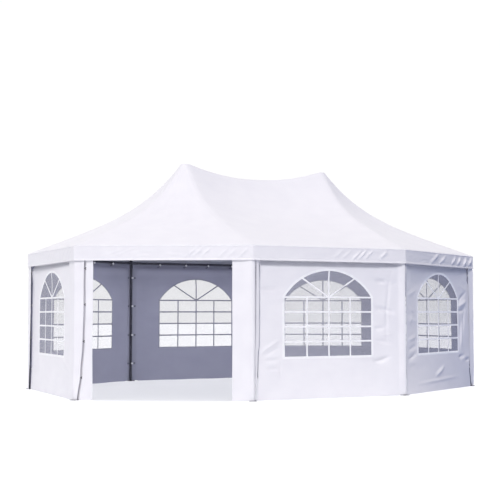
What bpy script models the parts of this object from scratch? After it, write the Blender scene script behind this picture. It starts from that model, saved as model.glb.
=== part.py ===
"""Eight-sided marquee tent with two peaks, arched window walls and one open bay.

The plan is a hexagon stretched along X: half a hexagon at each end and a straight
bay between them, so that all eight sides are equally long. Each half hexagon has
its own peak, and a bar joins the two peaks. Units are metres, +Z is up, +X runs
along the ridge, and the origin is on the ground under the middle of the tent.
"""

import math

import bmesh
import bpy
from mathutils import Matrix, Vector

# Plan and heights of the tent
SIDE = 2.5
HALF_RIDGE = SIDE / 2
PEAK_TOP = 3.552
EAVE_TOP = 2.135
VALANCE_BOTTOM = 1.93
RIDGE_SAG = 0.19

# The roof's hollow curve from eave to peak, as a straight share and a steep share
STRAIGHT_SHARE = 0.62
STEEP_POWER = 4.5
ROOF_ROWS = 14
ROW_CROWDING = 1.25
RIDGE_STEPS = 8

# Half the flat width that the cloth has over a crown and over the middle of the ridge
CROWN_FLAT = 0.05
RIDGE_FLAT = 0.02

# Cloth, film and the clearance between pieces that touch
CLOTH = 0.004
FILM = 0.002
GAP = 0.0003
BORE_GAP = 0.0005

# Steel tubes, and the sockets that they slide into
TUBE_R = 0.019
SOCKET_R = 0.0215
RAFTER_R = 0.015
RAFTER_SOCKET_R = 0.0175
SOCKET_LENGTH = 0.12
SOCKET_FLOOR = 0.035
TUBE_END_GAP = 0.001
TUBE_SIDES = 16
RAIL_Z = 2.078
HEAD_BOTTOM = 1.99
HEAD_TOP = 2.125
FOOT_SIZE = 0.1
FOOT_THICK = 0.006

# Crown at each peak
CROWN_R = 0.042
CROWN_CAP_R = 0.036
CROWN_CAP_DEPTH = 0.012
CROWN_BOTTOM = 3.31
CROWN_SOCKET_START = 0.039

# Walls hang inside the valance and outside the posts
WALL_INSET = 0.012
WALL_BOTTOM = 0.01
WALL_TOP = 2.1
WALL_END_GAP = 0.0005
ENTRANCE_STRIP_LEFT = 0.273
ENTRANCE_STRIP_RIGHT = 0.287

# Arched window in each closed wall, and the film's lap behind the wall
WINDOW_WIDTH = 1.415
WINDOW_BOTTOM = 0.594
WINDOW_SPRING = 1.426
WINDOW_APEX = 1.8
FILM_LAP = 0.018
ARCH_STEPS = 24

# Corners anticlockwise from above: which end they belong to, and their angle there
CORNERS = (
    ("front_right", 1, -90),
    ("right_front", 1, -30),
    ("right_back", 1, 30),
    ("back_right", 1, 90),
    ("back_left", -1, 90),
    ("left_back", -1, 150),
    ("left_front", -1, 210),
    ("front_left", -1, 270),
)
# The side that starts at each corner, in the same order
SIDES = ("front_right", "right", "back_right", "back", "back_left", "left", "entrance", "front")
ENTRANCE = SIDES.index("entrance")

PARTS = "marquee_tent"
CUTTERS = "cutters"


def clear_scene():
    for obj in list(bpy.data.objects):
        bpy.data.objects.remove(obj, do_unlink=True)
    for name in (PARTS, CUTTERS):
        collection = bpy.data.collections.new(name)
        bpy.context.scene.collection.children.link(collection)


def make_material(name, color, roughness, metallic=0.0, alpha=1.0):
    material = bpy.data.materials.new(name)
    material.use_nodes = True
    shader = material.node_tree.nodes["Principled BSDF"]
    shader.inputs["Base Color"].default_value = (*color, 1.0)
    shader.inputs["Roughness"].default_value = roughness
    shader.inputs["Metallic"].default_value = metallic
    shader.inputs["Alpha"].default_value = alpha
    return material


def make_materials():
    return {
        "roof_cloth": make_material("roof_cloth", (0.88, 0.88, 0.92), 0.55),
        "wall_cloth": make_material("wall_cloth", (0.82, 0.82, 0.87), 0.6),
        "window_film": make_material("window_film", (0.72, 0.76, 0.8), 0.2, alpha=0.35),
        "frame_steel": make_material("frame_steel", (0.42, 0.43, 0.46), 0.35, metallic=0.2),
    }


def place(obj, material, collection=PARTS):
    bpy.data.collections[collection].objects.link(obj)
    if material:
        obj.data.materials.append(material)
    return obj


def place_cutter(name, mesh):
    cutter = place(bpy.data.objects.new(name, mesh), None, CUTTERS)
    cutter.hide_render = True
    cutter.display_type = "WIRE"
    return cutter


def unit(angle_degrees):
    angle = math.radians(angle_degrees)
    return Vector((math.cos(angle), math.sin(angle)))


def peak_of(corner):
    return Vector((CORNERS[corner][1] * HALF_RIDGE, 0.0))


def hip_direction(corner):
    return unit(CORNERS[corner][2])


def eave_corner(corner):
    """A corner of the roof's outline in plan."""
    return peak_of(corner) + SIDE * hip_direction(corner)


def side_direction(side):
    return (eave_corner((side + 1) % 8) - eave_corner(side)).normalized()


def side_normal(side):
    """The direction in plan that a side faces, out of the tent."""
    along = side_direction(side)
    return Vector((along.y, -along.x))


def inset_corner(corner, inset):
    """Where the two sides that meet at a corner cross when both are moved inwards."""
    before = side_normal(corner - 1)
    after = side_normal(corner)
    middle = before + after
    return eave_corner(corner) - middle * (inset / middle.dot(after))


def rise(share):
    """The height that the roof has gained, as a share, at a share of the way to the ridge."""
    return STRAIGHT_SHARE * share + (1 - STRAIGHT_SHARE) * share**STEEP_POWER


def row_shares():
    """How far down from the ridge each row of the roof is, from 0 to 1."""
    return [(row / ROOF_ROWS) ** ROW_CROWDING for row in range(ROOF_ROWS + 1)]


def ridge_profile(x):
    """The cloth's height and half its flat width at a place along the ridge."""
    span = HALF_RIDGE - CROWN_FLAT
    share = min(1.0, abs(x) / span) ** 2
    height = PEAK_TOP - RIDGE_SAG * (1 - share)
    flat = RIDGE_FLAT + (CROWN_FLAT - RIDGE_FLAT) * share
    return height, flat


def roof_column(foot_of_column, direction):
    """The roof's points from the ridge down to the eave, in one vertical plane."""
    height, flat = ridge_profile(foot_of_column.x)
    points = []
    for share in row_shares():
        reach = flat + (SIDE - flat) * share
        plan = foot_of_column + direction * reach
        points.append(Vector((*plan, EAVE_TOP + (height - EAVE_TOP) * rise(1 - share))))
    return points


def ridge_stations():
    """Places along the ridge where the straight bays have a column, left to right."""
    span = HALF_RIDGE - CROWN_FLAT
    inner = [span * (2 * step / RIDGE_STEPS - 1) for step in range(RIDGE_STEPS + 1)]
    return [-HALF_RIDGE, *inner, HALF_RIDGE]


def roof_columns():
    """All columns of the roof in order round the tent, and where the two bays start."""
    columns = [roof_column(peak_of(corner), hip_direction(corner)) for corner in range(4)]
    back_start = 3
    for x in reversed(ridge_stations()[1:-1]):
        columns.append(roof_column(Vector((x, 0.0)), unit(90)))
    for corner in range(4, 8):
        columns.append(roof_column(peak_of(corner), hip_direction(corner)))
    front_start = len(columns) - 1
    for x in ridge_stations()[1:-1]:
        columns.append(roof_column(Vector((x, 0.0)), unit(-90)))
    return columns, back_start, front_start


def make_canopy(materials):
    """The roof cloth with its valance: one skin from the ridge to the valance's hem."""
    columns, back_start, front_start = roof_columns()
    for column in columns:
        edge = column[-1]
        column.append(Vector((edge.x, edge.y, VALANCE_BOTTOM)))
    sheet = bmesh.new()
    grid = [[sheet.verts.new(point) for point in column] for column in columns]
    count = len(grid)
    for index, column in enumerate(grid):
        following = grid[(index + 1) % count]
        for row in range(len(column) - 1):
            corners = (column[row], column[row + 1], following[row + 1], following[row])
            sheet.faces.new(corners)
    tops = [column[0] for column in grid]
    stations = len(ridge_stations()) - 1
    back = [tops[back_start + step] for step in range(stations + 1)]
    front = [tops[(front_start + step) % count] for step in range(stations + 1)]
    front.reverse()
    for step in range(stations):
        sheet.faces.new((back[step], back[step + 1], front[step + 1], front[step]))
    sheet.faces.new(tops[0:4])
    sheet.faces.new(tops[back_start + stations : front_start + 1])
    bmesh.ops.recalc_face_normals(sheet, faces=sheet.faces)
    mesh = bpy.data.meshes.new("roof_canopy")
    sheet.to_mesh(mesh)
    sheet.free()
    canopy = place(bpy.data.objects.new("roof_canopy", mesh), materials["roof_cloth"])
    shell = canopy.modifiers.new("thickness", "SOLIDIFY")
    shell.thickness = CLOTH
    shell.offset = -1.0
    shell.use_even_offset = True
    return canopy


def add_rod(mesh, start, end, radius):
    """Adds a capped round bar between two points to a bmesh."""
    axis = end - start
    turn = axis.to_track_quat("Z", "Y").to_matrix().to_4x4()
    middle = Matrix.Translation((start + end) / 2)
    bmesh.ops.create_cone(
        mesh,
        cap_ends=True,
        segments=TUBE_SIDES,
        radius1=radius,
        radius2=radius,
        depth=axis.length,
        matrix=middle @ turn,
    )


def add_plate(mesh, centre, size, angle):
    """Adds a box to a bmesh, turned about Z."""
    turn = Matrix.Rotation(angle, 4, "Z")
    scale = Matrix.Diagonal((*size, 1.0))
    bmesh.ops.create_cube(mesh, size=1.0, matrix=Matrix.Translation(centre) @ turn @ scale)


def finish_mesh(mesh, name):
    data = bpy.data.meshes.new(name)
    mesh.to_mesh(data)
    mesh.free()
    return data


def bore_out(obj, bores, name):
    """Cuts the sockets' bores, and makes the overlapping bars of the object one body."""
    cut = obj.modifiers.new("bores", "BOOLEAN")
    cut.operation = "DIFFERENCE"
    cut.solver = "EXACT"
    cut.use_self = True
    cut.object = place_cutter(name, finish_mesh(bores, name))


def add_socket(body, bores, start, direction, tube_r, socket_r):
    """A socket that runs from its start along a direction, and the bore in its open end."""
    end = start + direction * SOCKET_LENGTH
    add_rod(body, start, end, socket_r)
    add_rod(bores, start + direction * SOCKET_FLOOR, end + direction * SOCKET_FLOOR, tube_r + BORE_GAP)


def lift(plan, z):
    return Vector((plan.x, plan.y, z))


def frame_inset():
    """How far the posts' and rails' centre lines lie inside the roof's outline."""
    return WALL_INSET + CLOTH + GAP + SOCKET_R


def post_centre(corner):
    return inset_corner(corner, frame_inset())


def rafter_line(corner):
    """The rafter's centre line under its hip, row by row from the crown to the eave.

    It hangs under the hip by what the cloth and a socket need, measured square to the
    steeper of the two roof faces that meet there.
    """
    hip = roof_column(peak_of(corner), hip_direction(corner))
    square = CLOTH + GAP + RAFTER_SOCKET_R
    line = []
    for row, point in enumerate(hip):
        upper = max(row - 1, 0)
        drop = hip[upper].z - hip[upper + 1].z
        run = (hip[upper + 1].xy - hip[upper].xy).length * math.cos(math.radians(30))
        line.append(point - Vector((0.0, 0.0, square * math.hypot(1.0, drop / run))))
    return line


def along(point, direction, reach):
    """The point of a sloping line at a given distance in plan."""
    return point + direction * (reach / direction.xy.length)


def rafter_ends(corner):
    """The start and direction of the sockets at the crown and at the post."""
    line = rafter_line(corner)
    down = (line[1] - line[0]).normalized()
    crown_start = along(line[0], down, CROWN_SOCKET_START - CROWN_FLAT)
    up = (line[-2] - line[-1]).normalized()
    post_reach = (eave_corner(corner) - post_centre(corner)).dot(hip_direction(corner))
    post_start = along(line[-1], up, post_reach)
    return crown_start, down, post_start, up


def make_post(corner, materials):
    """A post with its foot plate and the corner socket for two rails and a rafter."""
    name = "post_" + CORNERS[corner][0]
    body = bmesh.new()
    bores = bmesh.new()
    centre = post_centre(corner)
    outward = eave_corner(corner) - centre
    facing = math.atan2(outward.y, outward.x)
    plate_size = (FOOT_SIZE, FOOT_SIZE, FOOT_THICK)
    add_plate(body, lift(centre, FOOT_THICK / 2), plate_size, facing)
    add_rod(body, lift(centre, FOOT_THICK / 2), lift(centre, RAIL_Z), TUBE_R)
    add_rod(body, lift(centre, HEAD_BOTTOM), lift(centre, HEAD_TOP), SOCKET_R)
    head = lift(centre, RAIL_Z)
    ahead = lift(side_direction(corner), 0.0)
    behind = -lift(side_direction(corner - 1), 0.0)
    add_socket(body, bores, head, ahead, TUBE_R, SOCKET_R)
    add_socket(body, bores, head, behind, TUBE_R, SOCKET_R)
    _, _, rafter_start, up = rafter_ends(corner)
    add_socket(body, bores, rafter_start, up, RAFTER_R, RAFTER_SOCKET_R)
    post = place(bpy.data.objects.new(name, finish_mesh(body, name)), materials["frame_steel"])
    bore_out(post, bores, name + "_bores")


def make_rail(side, materials):
    """A straight tube along the eave from one corner socket to the next."""
    name = "eave_rail_" + SIDES[side]
    step = side_direction(side) * (SOCKET_FLOOR + TUBE_END_GAP)
    start = lift(post_centre(side) + step, RAIL_Z)
    end = lift(post_centre((side + 1) % 8) - step, RAIL_Z)
    body = bmesh.new()
    add_rod(body, start, end, TUBE_R)
    place(bpy.data.objects.new(name, finish_mesh(body, name)), materials["frame_steel"])


def make_rafter(corner, materials):
    """A bent roof tube under one hip, from the crown's socket to the post's."""
    name = "rafter_" + CORNERS[corner][0]
    crown_start, down, post_start, up = rafter_ends(corner)
    inside = SOCKET_FLOOR + TUBE_END_GAP
    line = [crown_start + down * inside]
    line.extend(rafter_line(corner)[1:-1])
    line.append(post_start + up * inside)
    curve = bpy.data.curves.new(name, "CURVE")
    curve.dimensions = "3D"
    curve.bevel_depth = RAFTER_R
    curve.bevel_resolution = 4
    curve.use_fill_caps = True
    spline = curve.splines.new("POLY")
    spline.points.add(len(line) - 1)
    for knot, point in zip(spline.points, line):
        knot.co = (*point, 1.0)
    place(bpy.data.objects.new(name, curve), materials["frame_steel"])


def ridge_bar_z():
    return PEAK_TOP - RIDGE_SAG - CLOTH - GAP - TUBE_R


def make_crown(name, end, corners, materials):
    """The hub under a peak: a capped drum with sockets for four rafters and the ridge bar."""
    body = bmesh.new()
    bores = bmesh.new()
    centre = Vector((end * HALF_RIDGE, 0.0))
    top = PEAK_TOP - CLOTH - GAP
    shoulder = top - CROWN_CAP_DEPTH
    add_rod(body, lift(centre, CROWN_BOTTOM), lift(centre, shoulder), CROWN_R)
    add_rod(body, lift(centre, shoulder - CROWN_CAP_DEPTH), lift(centre, top), CROWN_CAP_R)
    for corner in corners:
        start, down, _, _ = rafter_ends(corner)
        add_socket(body, bores, start, down, RAFTER_R, RAFTER_SOCKET_R)
    inward = Vector((-end, 0.0, 0.0))
    start = lift(centre, ridge_bar_z()) + inward * CROWN_R / 2
    add_socket(body, bores, start, inward, TUBE_R, SOCKET_R)
    crown = place(bpy.data.objects.new(name, finish_mesh(body, name)), materials["frame_steel"])
    bore_out(crown, bores, name + "_bores")


def make_ridge_bar(materials):
    reach = HALF_RIDGE - CROWN_R / 2 - SOCKET_FLOOR - TUBE_END_GAP
    body = bmesh.new()
    add_rod(body, Vector((-reach, 0.0, ridge_bar_z())), Vector((reach, 0.0, ridge_bar_z())), TUBE_R)
    mesh = finish_mesh(body, "ridge_bar")
    place(bpy.data.objects.new("ridge_bar", mesh), materials["frame_steel"])


def window_outline(middle, lap):
    """The window's outline in the wall's plane: a rectangle under a flat arch."""
    half = WINDOW_WIDTH / 2
    height = WINDOW_APEX - WINDOW_SPRING
    radius = (half**2 + height**2) / (2 * height)
    centre_z = WINDOW_APEX - radius
    reach = radius + lap
    edge = half + lap
    swing = math.asin(edge / reach)
    points = [(middle - edge, WINDOW_BOTTOM - lap), (middle + edge, WINDOW_BOTTOM - lap)]
    for step in range(ARCH_STEPS + 1):
        angle = swing * (1 - 2 * step / ARCH_STEPS)
        points.append((middle + reach * math.sin(angle), centre_z + reach * math.cos(angle)))
    return points


def rectangle(left, right, bottom, top):
    return [(left, bottom), (right, bottom), (right, top), (left, top)]


def make_panel(name, side, outlines, inset, thickness, material):
    """A flat sheet parallel to a side of the tent, with its first outline cut by the others.

    Outlines are in metres along the side from its starting corner and up from the ground.
    """
    curve = bpy.data.curves.new(name, "CURVE")
    curve.dimensions = "2D"
    curve.fill_mode = "BOTH"
    curve.extrude = thickness / 2
    for outline in outlines:
        spline = curve.splines.new("POLY")
        spline.points.add(len(outline) - 1)
        spline.use_cyclic_u = True
        for knot, (across, up) in zip(spline.points, outline):
            knot.co = (across, up, 0.0, 1.0)
    panel = place(bpy.data.objects.new(name, curve), material)
    direction = side_direction(side)
    start = eave_corner(side) - side_normal(side) * (inset + thickness / 2)
    panel.location = lift(start, 0.0)
    panel.rotation_euler = (math.pi / 2, 0.0, math.atan2(direction.y, direction.x))


def wall_limits(side):
    """Where the wall's ends are along its side: just short of the neighbouring walls."""
    direction = side_direction(side)
    origin = eave_corner(side)
    inner = WALL_INSET + CLOTH
    left = (inset_corner(side, inner) - origin).dot(direction) + WALL_END_GAP
    right = (inset_corner((side + 1) % 8, inner) - origin).dot(direction) - WALL_END_GAP
    return left, right


def make_window_wall(side, materials):
    """A closed wall with its arched opening, and the clear film that laps behind it."""
    left, right = wall_limits(side)
    outline = rectangle(left, right, WALL_BOTTOM, WALL_TOP)
    opening = window_outline(SIDE / 2, 0.0)
    wall_name = "wall_" + SIDES[side]
    make_panel(wall_name, side, [outline, opening], WALL_INSET, CLOTH, materials["wall_cloth"])
    film_inset = WALL_INSET + CLOTH + GAP
    film = [window_outline(SIDE / 2, FILM_LAP)]
    make_panel("window_" + SIDES[side], side, film, film_inset, FILM, materials["window_film"])


def make_entrance_strips(materials):
    """The two narrow wall strips that stay beside the open doorway."""
    left, right = wall_limits(ENTRANCE)
    strips = {
        "entrance_strip_left": (left, ENTRANCE_STRIP_LEFT),
        "entrance_strip_right": (SIDE - ENTRANCE_STRIP_RIGHT, right),
    }
    for name, (start, end) in strips.items():
        outline = rectangle(start, end, WALL_BOTTOM, WALL_TOP)
        make_panel(name, ENTRANCE, [outline], WALL_INSET, CLOTH, materials["wall_cloth"])


def main():
    clear_scene()
    materials = make_materials()
    make_canopy(materials)
    for corner in range(len(CORNERS)):
        make_post(corner, materials)
        make_rafter(corner, materials)
    for side in range(len(SIDES)):
        make_rail(side, materials)
        if side != ENTRANCE:
            make_window_wall(side, materials)
    make_entrance_strips(materials)
    make_crown("crown_right", 1, range(0, 4), materials)
    make_crown("crown_left", -1, range(4, 8), materials)
    make_ridge_bar(materials)


main()
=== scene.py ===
"""Looks of an eight-sided marquee tent: creased cloth, window films, ties and finishes.

Everything is in metres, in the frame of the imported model: +Z is up, +X runs along the
ridge, and the origin is on the ground under the middle of the tent.
"""

import math
import random

import bmesh
import bpy
import numpy as np
from mathutils import Matrix, Vector


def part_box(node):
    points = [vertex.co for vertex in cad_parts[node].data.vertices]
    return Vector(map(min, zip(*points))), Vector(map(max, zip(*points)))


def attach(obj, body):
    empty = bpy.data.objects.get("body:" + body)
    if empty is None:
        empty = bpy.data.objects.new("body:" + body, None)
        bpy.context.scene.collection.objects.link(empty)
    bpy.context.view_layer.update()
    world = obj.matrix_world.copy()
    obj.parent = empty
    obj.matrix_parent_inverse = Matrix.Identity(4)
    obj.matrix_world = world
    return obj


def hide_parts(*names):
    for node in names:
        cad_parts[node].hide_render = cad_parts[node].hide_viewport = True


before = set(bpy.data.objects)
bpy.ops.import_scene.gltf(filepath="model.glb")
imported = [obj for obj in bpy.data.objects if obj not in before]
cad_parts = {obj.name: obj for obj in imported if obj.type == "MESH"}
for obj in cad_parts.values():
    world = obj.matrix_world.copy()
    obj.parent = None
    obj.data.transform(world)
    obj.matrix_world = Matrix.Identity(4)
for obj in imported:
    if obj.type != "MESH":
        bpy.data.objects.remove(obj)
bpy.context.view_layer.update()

# Plan and heights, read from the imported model
CANOPY_LOW, CANOPY_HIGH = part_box("roof_canopy")
BACK_WALL_LOW, BACK_WALL_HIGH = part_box("wall_back")
BACK_RAIL_LOW, BACK_RAIL_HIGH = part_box("eave_rail_back")
SIDE = CANOPY_HIGH.y
HALF_RIDGE = SIDE / 2
PEAK_TOP = CANOPY_HIGH.z
VALANCE_BOTTOM = CANOPY_LOW.z
WALL_INSET = SIDE - BACK_WALL_HIGH.y
WALL_BOTTOM = BACK_WALL_LOW.z
WALL_TOP = BACK_WALL_HIGH.z
RAIL_Z = (BACK_RAIL_LOW.z + BACK_RAIL_HIGH.z) / 2
TUBE_R = (BACK_RAIL_HIGH.z - BACK_RAIL_LOW.z) / 2
FRAME_INSET = SIDE - (BACK_RAIL_LOW.y + BACK_RAIL_HIGH.y) / 2

# The roof's form, as in the solid
EAVE_TOP = 2.135
RIDGE_SAG = 0.19
STRAIGHT_SHARE = 0.62
STEEP_POWER = 4.5
CROWN_FLAT = 0.05
RIDGE_FLAT = 0.02

# Window form, as in the solid, and its welded frame
WINDOW_WIDTH = 1.415
WINDOW_BOTTOM = 0.594
WINDOW_SPRING = 1.426
WINDOW_APEX = 1.8
HALF_WINDOW = WINDOW_WIDTH / 2
ARCH_HEIGHT = WINDOW_APEX - WINDOW_SPRING
ARCH_RADIUS = (HALF_WINDOW**2 + ARCH_HEIGHT**2) / (2 * ARCH_HEIGHT)
ARCH_CENTRE = WINDOW_APEX - ARCH_RADIUS
FILM_LAP = 0.018
BORDER = 0.034
BAR = 0.022
PANES_ACROSS = 4
PANES_UP = 4
FAN_ANGLE = 32

# Thicknesses of cloth, film and welded strips, and the gap between cloth and film
ROOF_CLOTH = 0.0016
BAND_CLOTH = 0.0011
WALL_CLOTH = 0.0015
FILM = 0.0006
STRIP = 0.0018
TOUCH = 0.0003

# Edges that turn more than this stay sharp
SHARP_ANGLE = math.radians(45)

# Seeds of the uneven fields and of the invented creases. To those under 700, and to the
# corner flaps' seed, the number of the side or corner is added.
WALL_SWELL_SEED = 20
ROOF_SLACK_SEED = 40
ROOF_LOW_SEED = 60
VALANCE_SEED = 80
VALANCE_CREASE_SEED = 120
ROOF_CREASE_SEED = 200
WALL_SEED = 300
WALL_CREASE_SEED = 400
FILM_SEED = 600
LEFT_STRIP_SEED = 701
RIGHT_STRIP_SEED = 702
ROLL_SEED = 703
FLAP_SEED = 720
FRONT_FLAP_SEED = 730

# Width of a woven tape, and the scale at which a texture has one band for each tape
TAPE = 0.0022
WEAVE_DENSITY = 0.32 / TAPE

CORNERS = (
    ("front_right", 1, -90),
    ("right_front", 1, -30),
    ("right_back", 1, 30),
    ("back_right", 1, 90),
    ("back_left", -1, 90),
    ("left_back", -1, 150),
    ("left_front", -1, 210),
    ("front_left", -1, 270),
)
SIDES = ("front_right", "right", "back_right", "back", "back_left", "left", "entrance", "front")
ENTRANCE = SIDES.index("entrance")


# Plan of the tent

def unit(degrees):
    return np.array([math.cos(math.radians(degrees)), math.sin(math.radians(degrees))])


def peak_of(corner):
    return np.array([CORNERS[corner][1] * HALF_RIDGE, 0.0])


def eave_corner(corner):
    corner %= 8
    return peak_of(corner) + SIDE * unit(CORNERS[corner][2])


def side_direction(side):
    along = eave_corner(side + 1) - eave_corner(side)
    return along / np.linalg.norm(along)


def side_normal(side):
    along = side_direction(side)
    return np.array([along[1], -along[0]])


def post_centre(corner):
    before = side_normal(corner - 1)
    middle = before + side_normal(corner)
    return eave_corner(corner) - middle * FRAME_INSET / middle.dot(before)


def turn_at(corner):
    """The angle by which the wall turns at a corner."""
    return math.acos(side_normal(corner - 1).dot(side_normal(corner)))


def rotated(direction, angles):
    """A plan direction turned by each of the angles."""
    cos, sin = np.cos(angles), np.sin(angles)
    x, y = direction
    return np.stack([x * cos - y * sin, x * sin + y * cos], axis=-1)


def round_posts(side, places, inset):
    """Plan points and outward directions at places along a side.

    Between its two posts the line is straight. Beyond them it goes round the post, and
    then runs on along the next side.
    """
    places = np.asarray(places, float)
    start, along, out = eave_corner(side), side_direction(side), side_normal(side)
    points = start + places[..., None] * along - inset * out
    outward = np.broadcast_to(out, points.shape).copy()
    for corner, sign in ((side, -1), (side + 1, 1)):
        centre = post_centre(corner)
        limit = (centre - start).dot(along)
        over = np.maximum(sign * (places - limit), 0.0)
        radius = max(FRAME_INSET - inset, 1e-6)
        angle = np.minimum(over / radius, turn_at(corner))
        direction = rotated(out, sign * angle)
        ahead = rotated(along * sign, sign * angle)
        rounded = centre + direction * radius + ahead * (over - angle * radius)[..., None]
        past = over > 0
        points[past] = rounded[past]
        outward[past] = direction[past]
    return points, outward


# Folds and creases, as heights over a flat sheet

def clamped(values):
    return np.clip(values, 0.0, 1.0)


def eased(places, knots):
    """Values that ease from one (place, value) knot to the next."""
    at, values = np.array(knots, float).T
    places = np.asarray(places, float)
    index = np.clip(np.searchsorted(at, places) - 1, 0, len(at) - 2)
    share = clamped((places - at[index]) / (at[index + 1] - at[index]))
    return values[index] + (values[index + 1] - values[index]) * share**2 * (3 - 2 * share)


def bent(places, knots, reach):
    """Straight lines from knot to knot, with their corners rounded over a reach."""
    at, values = zip(*knots)
    return sum(np.interp(places + reach * step / 3, at, values) for step in range(-3, 4)) / 7


def crease(across, up, middle, angle, length, width, height, bend=0.0):
    """A soft ridge along a slightly bent line, fading out towards its ends."""
    cos, sin = math.cos(math.radians(angle)), math.sin(math.radians(angle))
    du, dv = across - middle[0], up - middle[1]
    along = du * cos + dv * sin
    beside = dv * cos - du * sin + bend * along**2
    fade = clamped(1 - (2 * along / length) ** 2) ** 1.5
    return height * fade * np.exp(-((beside / width) ** 2))


def ripples(across, up, seed, size, count=6):
    """A smooth uneven field of about unit height, with hollows of the given size."""
    draw = random.Random(seed)
    total = np.zeros_like(across)
    for _ in range(count):
        angle = draw.uniform(0, math.pi)
        wave = 2 * math.pi / (size * draw.uniform(0.8, 1.9))
        phase = draw.uniform(0, 2 * math.pi)
        total += np.sin(wave * (across * math.cos(angle) + up * math.sin(angle)) + phase)
    return total / count**0.5


def drawn(draw, *spans):
    """One random value from each span."""
    return [draw.uniform(*span) for span in spans]


# Mesh building

def link(name, data):
    obj = bpy.data.objects.new(name, data)
    bpy.context.scene.collection.objects.link(obj)
    return obj


def evaluated_mesh(obj):
    """A new mesh of an object with its modifiers applied, or of a curve's filled form."""
    return bpy.data.meshes.new_from_object(obj.evaluated_get(bpy.context.evaluated_depsgraph_get()))


def smooth(mesh):
    mesh.shade_smooth()
    mesh.set_sharp_from_angle(angle=SHARP_ANGLE)


def sheet_mesh(name, points, uvs, faces, materials, thickness):
    """A closed thin sheet whose outer side has the given points, faces and cloth places."""
    mesh = bpy.data.meshes.new(name)
    mesh.from_pydata(points.reshape(-1, 3).tolist(), [], faces)
    layer = mesh.uv_layers.new(name="cloth")
    loops = np.empty(len(mesh.loops), np.int64)
    mesh.loops.foreach_get("vertex_index", loops)
    layer.data.foreach_set("uv", uvs.reshape(-1, 2)[loops].ravel())
    for material in materials:
        mesh.materials.append(material)
    obj = link(name, mesh)
    shell = obj.modifiers.new("thickness", "SOLIDIFY")
    shell.thickness = thickness
    shell.offset = -1.0
    shell.use_even_offset = False
    # The last material goes on the inner side; for cloth and strips it is the darker inside copy, which is
    # painted shade.
    shell.material_offset = len(materials) - 1
    obj.data = evaluated_mesh(obj)
    obj.data.name = name
    obj.modifiers.clear()
    smooth(obj.data)
    return obj


def add_line(curve, points, closed=False):
    """Straight lines from point to point in a curve."""
    spline = curve.splines.new("POLY")
    spline.points.add(len(points) - 1)
    spline.use_cyclic_u = closed
    for knot, point in zip(spline.points, points):
        knot.co = (*point, 1.0)


def grid_faces(rows, columns, closed=False):
    """Faces of a grid whose points are stored row by row, seen with the rows going up."""
    faces = []
    for low in range(0, (rows - 1) * columns, columns):
        for column in range(columns if closed else columns - 1):
            following = low + (column + 1) % columns
            faces.append((low + column, following, following + columns, low + column + columns))
    return faces


def cloth_uvs(side, across, up):
    """Cloth places in metres, apart from those of the other sides."""
    return np.stack([side * 3 + across, up], axis=-1)


# Materials

def connect(tree, made, inputs):
    """Sets a node's inputs by name or number, as links from other nodes or as constants."""
    for key, value in inputs.items():
        if isinstance(value, bpy.types.NodeSocket):
            tree.links.new(value, made.inputs[key])
        else:
            made.inputs[key].default_value = value


def node(tree, kind, inputs, **properties):
    """The outputs of a new node with its properties and inputs set."""
    made = tree.nodes.new(kind)
    for key, value in properties.items():
        setattr(made, key, value)
    connect(tree, made, inputs)
    return made.outputs


def grey(value):
    return value, value, value


def ramp(tree, factor, *stops):
    """A colour that runs between two stops, each a (place, colour)."""
    made = tree.nodes.new("ShaderNodeValToRGB")
    tree.links.new(factor, made.inputs["Fac"])
    for element, (place, color) in zip(made.color_ramp.elements, stops):
        element.position = place
        element.color = (*color, 1.0)
    return made.outputs["Color"]


def object_places(tree):
    return node(tree, "ShaderNodeTexCoord", {})["Object"]


def cloth_places(tree, across, up):
    """Cloth coordinates in metres, scaled."""
    source = node(tree, "ShaderNodeUVMap", {}, uv_map="cloth")["UV"]
    return node(tree, "ShaderNodeMapping", {"Vector": source, "Scale": (across, up, 1.0)})["Vector"]


def noise(tree, places, scale, detail, dimensions="3D"):
    """Soft spots, as a factor."""
    inputs = {"Vector": places, "Scale": scale, "Detail": detail}
    return node(tree, "ShaderNodeTexNoise", inputs, noise_dimensions=dimensions)["Fac"]


def wave_bands(tree, density, direction, distortion=0.0):
    """Even bands on the cloth, as a factor."""
    inputs = {"Vector": cloth_places(tree, density, density), "Scale": 1.0, "Distortion": distortion}
    return node(tree, "ShaderNodeTexWave", inputs, bands_direction=direction)["Fac"]


def product(tree, first, second):
    return node(tree, "ShaderNodeMath", {0: first, 1: second}, operation="MULTIPLY")["Value"]


def blend(tree, factor, first, second):
    """A mix of two colours, from the first one at factor 0 to the second one at 1."""
    inputs = {"Factor": factor, "A": first, "B": second}
    return node(tree, "ShaderNodeMix", inputs, data_type="RGBA")["Result"]


def new_material(name):
    material = bpy.data.materials.new(name)
    material.use_nodes = True
    return material, material.node_tree


def finish_material(material, inputs, *bumps):
    """Sets the shader's inputs, with a chain of bumps, each a (height, strength, distance)."""
    tree = material.node_tree
    for height, strength, distance in bumps:
        bump = {"Height": height, "Strength": strength, "Distance": distance}
        if "Normal" in inputs:
            bump["Normal"] = inputs["Normal"]
        inputs["Normal"] = node(tree, "ShaderNodeBump", bump)["Normal"]
    connect(tree, tree.nodes["Principled BSDF"], inputs)
    return material


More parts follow.
